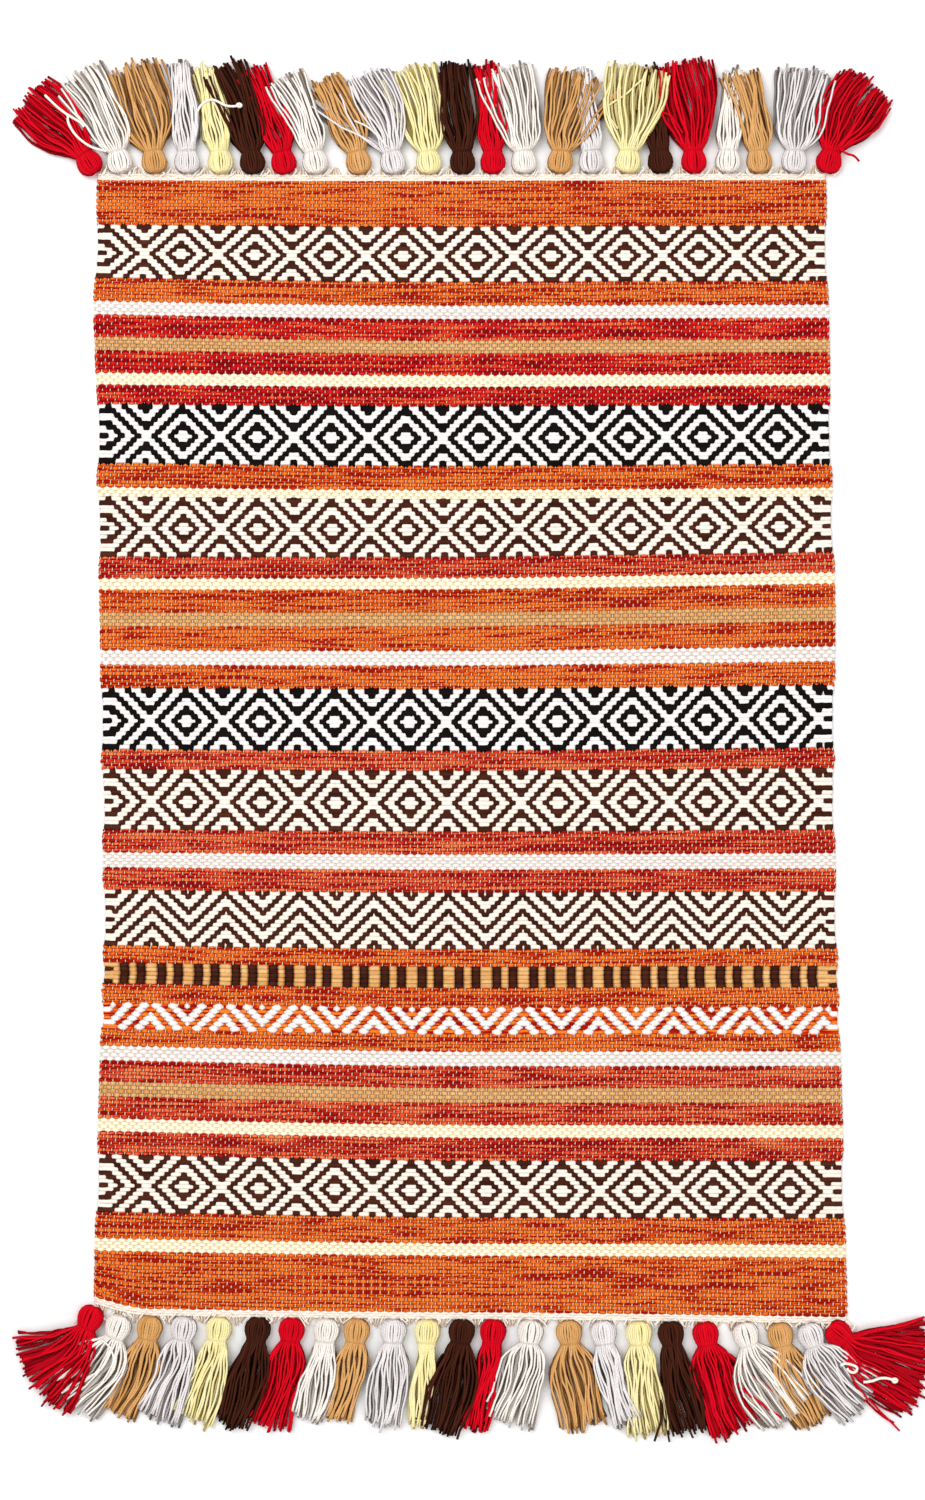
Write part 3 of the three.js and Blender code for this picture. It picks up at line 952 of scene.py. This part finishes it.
def skirt_lateral(rng, end, number, spread, head_a, skirt_a):
    """How far each strand of a skirt lies beside the tassel's middle line, ring by ring."""
    t, count = SKIRT_STATIONS, len(skirt_a)
    opening = 1 - (1 - t) ** np.interp(spread, BELL_SPREADS, BELL_POWERS)
    half = NECK_HALF_WIDTH + (spread / 2 - NECK_HALF_WIDTH - STRAND_RADIUS) * opening
    drift = rng.normal(0, DRIFT, (count, 1)) * t**DRIFT_POWER
    a = head_a[:, None] * (1 - SKIRT_EASE) + (skirt_a[:, None] + drift) * SKIRT_EASE
    phase = 2 * math.pi * CLUMP_CYCLES * t + rng.uniform(0, CLUMP_START) + CLUMP_TWIST * skirt_a[:, None]
    lateral = a * half + np.sin(phase) * SKIRT_EASE * CLUMP_WAVE + waves(rng, count)
    rightward = -ENDS[end]  # the line's side points left at the far end and right at the near end
    for low, high, reach in LOCKS[end].get(number, ()):
        leaving = (skirt_a * rightward >= low) & (skirt_a * rightward <= high + LOCK_MARGIN)
        lateral[leaving] += rightward * reach * MM * t**LOCK_POWER
    return lateral


def skirt_heights(rng, head_h, layer, raised):
    """How high each strand of a skirt lies, ring by ring. raised: how far the skirt lies off the floor."""
    t = SKIRT_STATIONS
    height = SKIRT_FALL * (1 - t) ** FALL_POWER + SKIRT_END
    middle = STRAND_RADIUS + height + raised * np.clip(t / RAISE_EASE, 0, 1)
    h = head_h[:, None] * (1 - SKIRT_EASE) + layer[:, None] * SKIRT_EASE
    return middle + h * (height - SKIRT_SINK) + rng.normal(0, SKIRT_BOB, h.shape)


def tassel_parts(end, number, tie, tip, raised):
    """The strands and the neck binding of one tassel."""
    rng = np.random.default_rng(TASSEL_SEEDS[end] + number * TASSEL_SEED_STEP)
    spread = SPREADS[end][number - 1] * MM
    core = CORE_STRANDS + int(max(0.0, spread / MM - CORE_FROM_SPREAD) * CORE_PER_MM)
    line, tangent = tassel_line(tie, tip, ENDS[end])
    side = np.stack([-tangent[:, 1], tangent[:, 0]], -1)
    head_a, head_h, layer, skirt_a = bundle_places(rng, core)
    lateral = skirt_lateral(rng, end, number, spread, head_a, skirt_a)
    skirt_z = skirt_heights(rng, head_h, layer, raised)

    head_lateral = head_a[:, None] * np.array(HEAD_HALF_WIDTH) * MM
    head_lateral = head_lateral + rng.normal(0, HEAD_STRAY, head_lateral.shape)
    head_z = TIE_Z + head_h[:, None] * np.array(HEAD_HALF_HEIGHT) * MM
    lateral = np.concatenate([head_lateral, lateral], 1)
    z = np.concatenate([head_z, skirt_z], 1)

    # strands end unevenly: their rings are drawn back or let out along the line
    count = len(layer)
    length = np.linalg.norm(tip - line[NECK])
    fan = 0.5 * (spread / 2 / length) ** 2
    slack = rng.normal(SLACK_MEAN, SLACK_STRAY, (count, 1)) - fan * skirt_a[:, None] ** 2
    pull = np.concatenate([np.zeros(head_z.shape), slack * length * SKIRT_STATIONS**2], 1)
    flat = line + tangent * pull[..., None] + side * lateral[..., None]
    centres = np.concatenate([flat, np.maximum(z, LOWEST_STRAND)[..., None]], -1)

    # painted shade: the lower layers of a skirt count as sunk and take more of the painted shade colour
    depth = np.concatenate([np.ones(head_z.shape), 1 - (1 - layer[:, None]) * INNER_SHADE * SKIRT_EASE], 1)
    stray = rng.normal(0, THICKNESS_STRAY, (count, 1)).clip(-THICKNESS_LIMIT, THICKNESS_LIMIT)
    radius = np.repeat(STRAND_RADIUS * (1 + stray), centres.shape[1], 1)
    radius[:, : NECK + 1] *= HEAD_THICKENING
    along, numbers = along_yarn(centres) + number, rng.uniform(0, STRAND_NUMBERS, (count, 1))
    across, up = level_across(centres), (0, 0, 1)
    strands = tubes(centres, across, up, radius, radius, STRAND_SIDES, along, numbers, depth)
    return [strands, binding(line, tangent, number)]


def binding(line, tangent, number):
    """Two tight turns of yarn round the neck."""
    axis = np.array([*tangent[NECK], 0.0])
    side = np.array([-axis[1], axis[0], 0.0])
    up = np.array([0.0, 0.0, 1.0])
    angle = np.linspace(0, 2 * math.pi * BINDING_TURNS, BINDING_RINGS)
    sideways, upwards = np.outer(np.cos(angle), side), np.outer(np.sin(angle), up)
    travel = (np.linspace(-0.5, 0.5, BINDING_RINGS) * BINDING_LENGTH)[:, None] * axis
    centre = np.array([*line[NECK], TIE_Z])
    path = centre + travel + sideways * BINDING_HALF_WIDTH + upwards * BINDING_HALF_HEIGHT
    radial = sideways + upwards
    along, own = angle[None] * BINDING_MEAN_RADIUS * MM, number * BINDING_NUMBER
    return tubes(path[None], axis, radial[None], *BINDING_YARN, STRAND_SIDES, along, own, BINDING_SHADE_LIFT)


# Yarns that lie loose on the tassels: (end, tassel they hang from, colour, route), each route's points in
# mm from the tie, to the right and outwards
LOOSE_YARNS = (
    ("far", 2, "cream", (
        (-12, 19), (-24, 22), (-34, 29), (-41, 37), (-45, 46),
        (-44, 50), (-48, 53), (-54, 58), (-59, 63), (-64, 68),
    )),
    ("far", 2, "cream", ((-45, 51), (-39, 47), (-34, 44), (-31, 40))),
    ("far", 6, "cream", (
        (-47, 45), (-47, 53), (-43, 59), (-36, 63), (-30, 61), (-24, 57), (-17, 56), (-12, 57),
    )),
    ("near", 23, "cream", ((-1, 35), (2, 33), (7, 34), (12, 36), (12, 39), (9, 41), (5, 39), (4, 37))),
    ("near", 23, "cream", ((17, 48), (20, 48), (25, 47), (30, 45), (36, 45), (42, 47))),
    ("near", 19, "red", ((26, 50), (33, 56), (41, 62), (50, 69), (61, 77))),
    ("near", 18, "brown", ((-8, 62), (-7, 77), (-10, 86), (-13, 95))),
    ("far", 23, "red", ((10, 16), (16, 11), (22, 10), (26, 5))),
    ("near", 1, "white", ((10, 14), (17, 20), (20, 30), (15, 40), (11, 46))),
    ("far", 10, "white", ((-6, 20), (-14, 30), (-22, 38), (-33, 43))),
    ("far", 19, "red", ((-10, 30), (-17, 42), (-21, 46), (-27, 48))),
    ("far", 17, "yellow", ((-8, 34), (-20, 52), (-2, 62), (8, 72), (13, 76))),
)
KNOTTED = (2, 4)  # which of them, counted from 0, end in a knot
KNOT_HALF_SIZE = (1.7, 1.3, 0.7)  # in mm
KNOT_RINGS = 26
CREAM_RADIUS = 1.1 * MM
LOOSE_SIDES = 6
LOOSE_HEIGHT = ((0, 10.5), (22, 11.5), (60, 9.0), (95, 6.5))  # (distance from the tie, height), in mm


def rounded(points, passes=3):
    """A route with its corners cut off, several times over."""
    for _ in range(passes):
        first, second = points[:-1], points[1:]
        cut = np.stack([0.75 * first + 0.25 * second, 0.25 * first + 0.75 * second], 1).reshape(-1, 3)
        points = np.concatenate([points[:1], cut, points[-1:]])
    return points


def lying_tube(points, radius, number):
    """A round tube along a route that lies roughly flat."""
    across, along = level_across(points)[None], along_yarn(points)[None] + number
    return tubes(points[None], across, (0, 0, 1), radius, radius, LOOSE_SIDES, along, number * 0.7, 1.0)


def knot(place, radius, number):
    """A small overhand knot, drawn as two crossed turns."""
    angle = np.linspace(0, 4 * math.pi, KNOT_RINGS)
    route = np.stack([np.cos(angle), np.sin(angle), np.sin(angle / 2)], -1) * KNOT_HALF_SIZE * MM
    return lying_tube(place + route, radius, number)


def make_loose_yarns(materials, ties):
    """The loose yarns, each riding on the tassel that it hangs from."""
    made = {"near": [], "far": []}
    for index, (end, number, colour, route) in enumerate(LOOSE_YARNS):
        right, out = np.array(route, float).T
        z = np.interp(np.hypot(right, out), *np.array(LOOSE_HEIGHT, float).T)
        tie = ties[(end, number)]
        points = np.stack([tie[0] + right * MM, tie[1] + ENDS[end] * out * MM, z * MM], -1)
        radius = CREAM_RADIUS if colour == "cream" else STRAND_RADIUS
        parts = [lying_tube(rounded(points), radius, index + 1.0)]
        if index in KNOTTED:
            parts.append(knot(points[-1], radius, index + 2.0))
        obj = make_piece(f"loose_yarn_{index + 1:02d}", parts, materials[colour])
        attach(obj, f"tassel_{end}_{number:02d}")
        made[end].append(obj)
    return made


TIE_WISPS = 5
WISP_RADIUS = 0.62 * MM
WISP_LOWEST = 1.0 * MM
# where a wisp starts from the tie, how far it goes and how it curls then, in mm: to its side, outwards, up
WISP_SPANS = (
    ((3, 9), (-3.5, -1.5), (2.5, 4.5)),
    ((1.5, 5), (2, 6.5), (-1, 2)),
    ((-2.5, 2.5), (0.5, 3), (-1.5, 1)),
)
WISP_MIDDLE = 0.55


def drawn(rng, spans, side):
    """A random offset within the given spans, its first part turned to the given side."""
    offset = np.array([rng.uniform(*span) for span in spans])
    return offset * (side, 1, 1)


def make_tie_ends(material, ties):
    """The short cream ends that tie each tassel to the hem, curling out on both sides of its head."""
    made = {}
    for end, outward in ENDS.items():
        rng = np.random.default_rng(WISP_SEED + outward)
        parts = []
        for number in range(1, TASSELS + 1):
            tie = ties[(end, number)] + hem_rise(ties[(end, number)], outward)
            for wisp in range(TIE_WISPS):
                side = -1 if wisp % 2 else 1
                start, reach, curl = (drawn(rng, spans, side) for spans in WISP_SPANS)
                last = start + reach
                points = np.stack([start, start + reach * WISP_MIDDLE, last, last + curl]) * MM
                points[:, 1] *= outward
                points[:, :2] += tie
                points[:, 2] = np.maximum(points[:, 2], WISP_LOWEST)
                parts.append(lying_tube(rounded(points, 2), WISP_RADIUS, number + wisp * 0.3))
        obj = make_piece(f"tie_ends_{end}", parts, material)
        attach(obj, f"{end}_half")
        made[end] = obj
    return made


def hem_rise(tie, outward):
    """How far the hand-made hem lies from its even place, where a tassel is tied on."""
    across = (tie[0] - CENTRE_X) / (CLOTH_HIGH.x - CENTRE_X)
    rise = smooth_table(ROW_RISE, outward * WOVEN_LENGTH / 2, 1 if across < 0 else 2)
    return np.array([0.0, rise * min(1.0, abs(across)) ** RISE_POWER])


def hand_shift(table, end, number):
    """A tassel's entry in a table of shifts, in metres along X and Y."""
    right, out = table[end].get(number, (0, 0))
    return np.array([right, ENDS[end] * out]) * MM


def make_tassels(materials, ties):
    """The yarns of each tassel, from its tie to the end of its CAD solid, both moved as in the photo."""
    made = {"near": [], "far": []}
    for (end, number), place in ties.items():
        node = f"tassel_{end}_{number:02d}"
        co = np.array([v.co for v in frame["nodes"][node].data.vertices])[:, :2]
        neck = place + np.array([0, ENDS[end] * HEAD_LENGTH])
        farthest = np.argsort(np.linalg.norm(co - neck, axis=1))[-TIP_RING:]
        rise = hem_rise(place, ENDS[end])
        tip = co[farthest].mean(0) + hand_shift(TIP_SHIFTS, end, number) + rise
        tie = place + hand_shift(TIE_SHIFTS, end, number) + rise
        colour = TASSEL_COLOURS[number - 1]
        raised = SKIRT_LIFTS[end].get(number, EVEN_LIFT if number % 2 == 0 else 0.0) * MM
        parts = tassel_parts(end, number, tie, tip, raised)
        obj = make_piece(f"yarns_{node}", parts, materials[colour])
        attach(obj, node)
        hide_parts(node)
        made[end].append(obj)
    return made


def tassel_ties():
    """Where each tassel is tied on, from its joint: {(end, number): x and y}."""
    places = {joint["name"]: joint["pos_m"] for joint in frame["joints"]}
    return {
        (end, number): np.array(places[f"tassel_{end}_{number:02d}_lift"])[:2]
        for end in ENDS
        for number in range(1, TASSELS + 1)
    }


# ---- The whole rug ----
make_camera()
make_studio()

weft_materials = {
    name: yarn_material(f"weft_{name}", stops, shade_and_patch_colour, share, WEFT_SHADE_AND_PATCHES)
    for name, (_slot, stops, shade_and_patch_colour, share) in WEFTS.items()
}
warp_material = yarn_material("warp", *WARP_YARN, WARP_SHADE_AND_PATCHES)
hem_material = yarn_material("hem", *HEM_YARN, HEM_SHADE_AND_PATCHES)
tassel_materials = {
    name: yarn_material(f"tassel_{name}", stops, shade_and_patch_colour, TASSEL_PAINTED_SHADE_SHARE, TASSEL_SHADE_AND_PATCHES)
    for name, (_slot, stops, shade_and_patch_colour) in TASSEL_YARNS.items()
}

bands = make_bands(weft_materials)
warps = make_warps(warp_material)
hems = make_hems(hem_material)
ties = tassel_ties()
tassels = make_tassels(tassel_materials, ties)
loose_yarns = make_loose_yarns({**tassel_materials, "cream": hem_material}, ties)
tie_ends = make_tie_ends(hem_material, ties)
